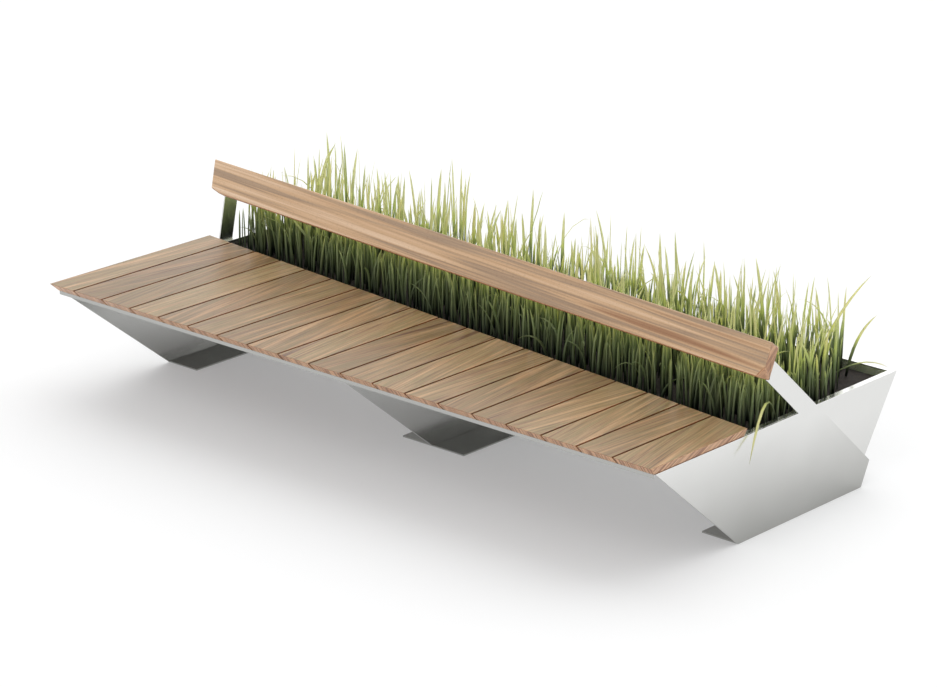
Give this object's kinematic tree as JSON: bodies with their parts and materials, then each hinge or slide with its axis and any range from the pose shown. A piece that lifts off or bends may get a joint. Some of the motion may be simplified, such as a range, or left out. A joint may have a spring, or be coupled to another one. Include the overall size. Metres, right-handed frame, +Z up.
{
  "type": "bench with planter",
  "caption": "Long street bench of timber slats on folded stainless steel plates, with a reclined timber backrest plank and a planter trough of grasses behind the seat.",
  "frame": {"origin": "on the ground, under the middle of the bench", "axes": "+X along the seat to the right as seen from the front, +Y from the seat's front edge back to the planter, +Z up"},
  "size_m": [3.059, 1.436, 0.8927],
  "materials": {
    "timber": "oiled, satin",
    "stainless": "brushed, fine",
    "fastener": "plain",
    "soil": "loose, dark",
    "clay_pebbles": "loose, fired clay",
    "fleece": "felted",
    "grass": "blades, dry tips"
  },
  "bodies": {
    "root": {"seat_slat_01": "timber", "seat_slat_02": "timber", "seat_slat_03": "timber", "seat_slat_04": "timber", "seat_slat_05": "timber", "seat_slat_06": "timber", "seat_slat_07": "timber", "seat_slat_08": "timber", "seat_slat_09": "timber", "seat_slat_10": "timber", "seat_slat_11": "timber", "seat_slat_12": "timber", "seat_slat_13": "timber", "seat_slat_14": "timber", "seat_slat_15": "timber", "seat_slat_16": "timber", "seat_slat_17": "timber", "seat_slat_18": "timber", "seat_slat_19": "timber", "backrest_plank": "timber", "seat_front_rail": "stainless", "seat_middle_rail_left": "stainless", "seat_middle_rail_right": "stainless", "backrest_bracket_left": "stainless", "backrest_bracket_right": "stainless", "end_plate_left": "stainless", "end_plate_right": "stainless", "centre_plate": "stainless", "planter_front_wall": "stainless", "planter_back_wall": "stainless", "planter_back_rim": "stainless", "planter_end_wall_left": "stainless", "planter_end_wall_right": "stainless", "planter_floor": "stainless", "ground_flange_left": "stainless", "ground_flange_centre": "stainless", "ground_flange_right": "stainless", "backrest_screw_left_outer": "fastener", "backrest_screw_left_inner": "fastener", "backrest_screw_right_outer": "fastener", "backrest_screw_right_inner": "fastener", "anchor_stud_left_front": "fastener", "anchor_stud_left_back": "fastener", "anchor_stud_centre_front": "fastener", "anchor_stud_centre_back": "fastener", "anchor_stud_right_front": "fastener", "anchor_stud_right_back": "fastener", "drainage_layer": "clay_pebbles", "filter_fleece": "fleece", "planting_soil": "soil", "grass_clump_1": "grass", "grass_clump_2": "grass", "grass_clump_3": "grass", "grass_clump_4": "grass"}
  },
  "joints": []
}
